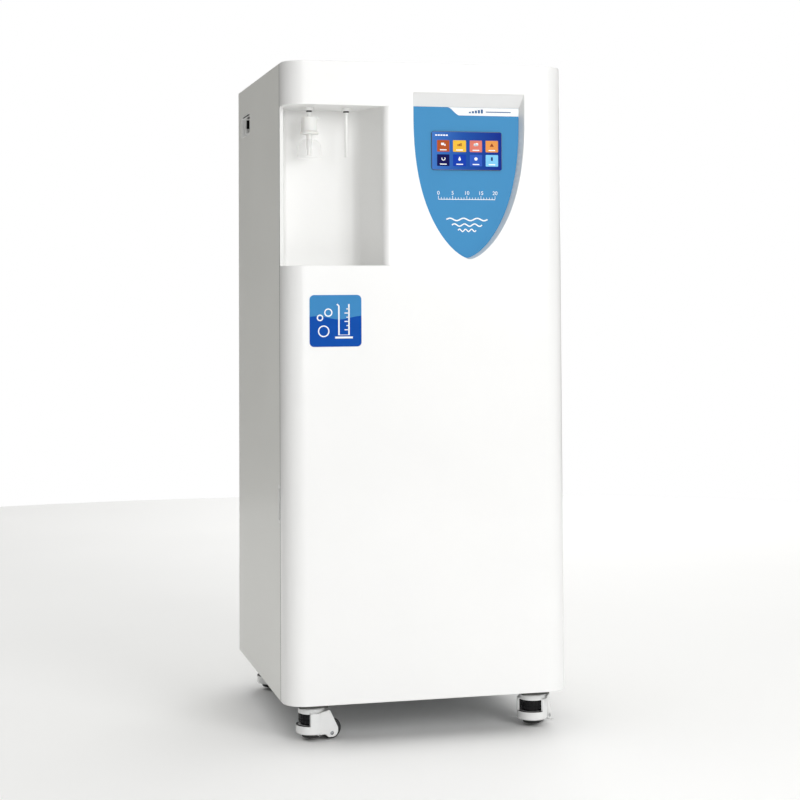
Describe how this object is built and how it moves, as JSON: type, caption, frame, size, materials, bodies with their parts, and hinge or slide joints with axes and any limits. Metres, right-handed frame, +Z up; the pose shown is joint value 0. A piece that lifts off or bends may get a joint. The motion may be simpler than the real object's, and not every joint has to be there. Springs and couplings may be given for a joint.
{
  "type": "ultrapure water system",
  "caption": "Floor-standing white cabinet on levelling casters, with an open dispensing bay, a final filter with clear bell and a shield-shaped touch fascia.",
  "frame": {"origin": "on the floor under the middle of the cabinet", "axes": "+Z up, -Y towards the front, +X to the right seen from the front"},
  "size_m": [0.4634, 0.4734, 1.062],
  "materials": {
    "cabinet_paint": "fine powder coat, satin",
    "frame_paint": "grey powder coat",
    "door_moulding": "smooth white moulding, semi-gloss",
    "white_moulding": "white moulded plastic",
    "filter_plastic": "white polypropylene, satin",
    "clear_plastic": "clear polymer",
    "spout_tube": "white tube",
    "blue_fascia": "printed film, semi-gloss",
    "blue_label": "printed label, satin",
    "display_glass": "lit display under glass",
    "circuit_board": "green board",
    "steel": "brushed",
    "black_moulding": "black moulded plastic",
    "rocker_plastic": "gloss black",
    "port_plastic": "grey-white acetal",
    "bowl_plastic": "translucent white polymer",
    "pump_metal": "cast",
    "tank_paint": "white enamel",
    "column_plastic": "white polymer",
    "supply_case": "plain sheet",
    "valve_plastic": "black with brass",
    "caster_white": "white nylon, gloss",
    "caster_black": "black nylon",
    "caster_rubber": "black rubber",
    "caster_tread": "black nylon, satin",
    "caster_steel": "zinc plated"
  },
  "bodies": {
    "root": {"base_pan": "frame_paint", "corner_posts": "frame_paint", "frame_rails": "frame_paint", "component_shelf": "frame_paint", "filter_bracket": "frame_paint", "left_side_panel": "cabinet_paint", "right_side_panel": "cabinet_paint", "top_cover": "cabinet_paint", "rear_panel_upper": "cabinet_paint", "rear_panel_lower": "cabinet_paint", "handle_cups": "white_moulding", "finger_pull": "white_moulding", "frame_hinges": "steel", "hinge_pins": "steel", "magnet_catch": "black_moulding", "water_ports": "port_plastic", "power_inlet": "black_moulding", "prefilter_heads": "black_moulding", "prefilter_bowls": "bowl_plastic", "membrane_housings": "white_moulding", "booster_pump": "pump_metal", "pressure_tank": "tank_paint", "polish_columns": "column_plastic", "uv_chamber": "steel", "power_supply": "supply_case", "solenoid_valves": "valve_plastic", "panel_screws": "steel", "caster_plates": "caster_steel"},
    "door": {"front_door": "door_moulding", "niche_liner": "door_moulding", "fascia_bezel": "door_moulding", "control_fascia": "blue_fascia", "touch_display": "display_glass", "control_board": "circuit_board", "label_plate": "blue_label", "door_hinges": "steel", "strike_plate": "steel", "product_outlet": "white_moulding", "final_filter": "filter_plastic", "filter_bell": "clear_plastic", "rinse_outlet": "white_moulding", "outlet_spout": "spout_tube"},
    "rocker": {"power_rocker": "rocker_plastic"},
    "front_left_housing": {"caster_front_left_housing": "caster_white"},
    "front_left_adjuster": {"caster_front_left_adjuster": "caster_black"},
    "front_left_foot": {"caster_front_left_foot": "caster_rubber"},
    "front_left_wheel": {"caster_front_left_wheel": "caster_tread"},
    "front_right_housing": {"caster_front_right_housing": "caster_white"},
    "front_right_adjuster": {"caster_front_right_adjuster": "caster_black"},
    "front_right_foot": {"caster_front_right_foot": "caster_rubber"},
    "front_right_wheel": {"caster_front_right_wheel": "caster_tread"},
    "rear_left_housing": {"caster_rear_left_housing": "caster_white"},
    "rear_left_adjuster": {"caster_rear_left_adjuster": "caster_black"},
    "rear_left_foot": {"caster_rear_left_foot": "caster_rubber"},
    "rear_left_wheel": {"caster_rear_left_wheel": "caster_tread"},
    "rear_right_housing": {"caster_rear_right_housing": "caster_white"},
    "rear_right_adjuster": {"caster_rear_right_adjuster": "caster_black"},
    "rear_right_foot": {"caster_rear_right_foot": "caster_rubber"},
    "rear_right_wheel": {"caster_rear_right_wheel": "caster_tread"}
  },
  "joints": [
    {"name": "door_hinge", "type": "hinge", "parent": "root", "child": "door", "pos_m": [0.2304, -0.1867, 0.5], "axis": [0, 0, 1], "range_deg": [0, 110]},
    {"name": "power_rocker_tip", "type": "hinge", "parent": "root", "child": "rocker", "pos_m": [0.078, 0.2088, 0.1585], "axis": [1, 0, 0], "range_deg": [-20, 0]},
    {"name": "front_left_swivel", "type": "hinge", "parent": "root", "child": "front_left_housing", "pos_m": [-0.1815, -0.1865, 0.05], "axis": [0, 0, 1], "continuous": true},
    {"name": "front_left_wheel_roll", "type": "hinge", "parent": "front_left_housing", "child": "front_left_wheel", "pos_m": [-0.15156, -0.17848, 0.016], "axis": [-0.2588, 0.9659, 0], "continuous": true},
    {"name": "front_left_adjuster_turn", "type": "hinge", "parent": "front_left_housing", "child": "front_left_adjuster", "pos_m": [-0.1815, -0.1865, 0.031], "axis": [0, 0, 1], "range_deg": [0, 1800]},
    {"name": "front_left_foot_drop", "type": "slide", "parent": "front_left_housing", "child": "front_left_foot", "axis": [0, 0, -1], "range_m": [0, 0.01]},
    {"name": "front_right_swivel", "type": "hinge", "parent": "root", "child": "front_right_housing", "pos_m": [0.1815, -0.1865, 0.05], "axis": [0, 0, 1], "continuous": true},
    {"name": "front_right_wheel_roll", "type": "hinge", "parent": "front_right_housing", "child": "front_right_wheel", "pos_m": [0.19793, -0.16021, 0.016], "axis": [-0.848, 0.5299, 0], "continuous": true},
    {"name": "front_right_adjuster_turn", "type": "hinge", "parent": "front_right_housing", "child": "front_right_adjuster", "pos_m": [0.1815, -0.1865, 0.031], "axis": [0, 0, 1], "range_deg": [0, 1800]},
    {"name": "front_right_foot_drop", "type": "slide", "parent": "front_right_housing", "child": "front_right_foot", "axis": [0, 0, -1], "range_m": [0, 0.01]},
    {"name": "rear_left_swivel", "type": "hinge", "parent": "root", "child": "rear_left_housing", "pos_m": [-0.1815, 0.1865, 0.05], "axis": [0, 0, 1], "continuous": true},
    {"name": "rear_left_wheel_roll", "type": "hinge", "parent": "rear_left_housing", "child": "rear_left_wheel", "pos_m": [-0.15465, 0.202, 0.016], "axis": [-0.5, 0.866, 0], "continuous": true},
    {"name": "rear_left_adjuster_turn", "type": "hinge", "parent": "rear_left_housing", "child": "rear_left_adjuster", "pos_m": [-0.1815, 0.1865, 0.031], "axis": [0, 0, 1], "range_deg": [0, 1800]},
    {"name": "rear_left_foot_drop", "type": "slide", "parent": "rear_left_housing", "child": "rear_left_foot", "axis": [0, 0, -1], "range_m": [0, 0.01]},
    {"name": "rear_right_swivel", "type": "hinge", "parent": "root", "child": "rear_right_housing", "pos_m": [0.1815, 0.1865, 0.05], "axis": [0, 0, 1], "continuous": true},
    {"name": "rear_right_wheel_roll", "type": "hinge", "parent": "rear_right_housing", "child": "rear_right_wheel", "pos_m": [0.20143, 0.21025, 0.016], "axis": [-0.766, 0.6428, 0], "continuous": true},
    {"name": "rear_right_adjuster_turn", "type": "hinge", "parent": "rear_right_housing", "child": "rear_right_adjuster", "pos_m": [0.1815, 0.1865, 0.031], "axis": [0, 0, 1], "range_deg": [0, 1800]},
    {"name": "rear_right_foot_drop", "type": "slide", "parent": "rear_right_housing", "child": "rear_right_foot", "axis": [0, 0, -1], "range_m": [0, 0.01]}
  ],
  "couplings": [
    {"joint": "front_left_foot_drop", "follows": "front_left_adjuster_turn", "m_per_rad": 0.000318},
    {"joint": "front_right_foot_drop", "follows": "front_right_adjuster_turn", "m_per_rad": 0.000318},
    {"joint": "rear_left_foot_drop", "follows": "rear_left_adjuster_turn", "m_per_rad": 0.000318},
    {"joint": "rear_right_foot_drop", "follows": "rear_right_adjuster_turn", "m_per_rad": 0.000318}
  ]
}
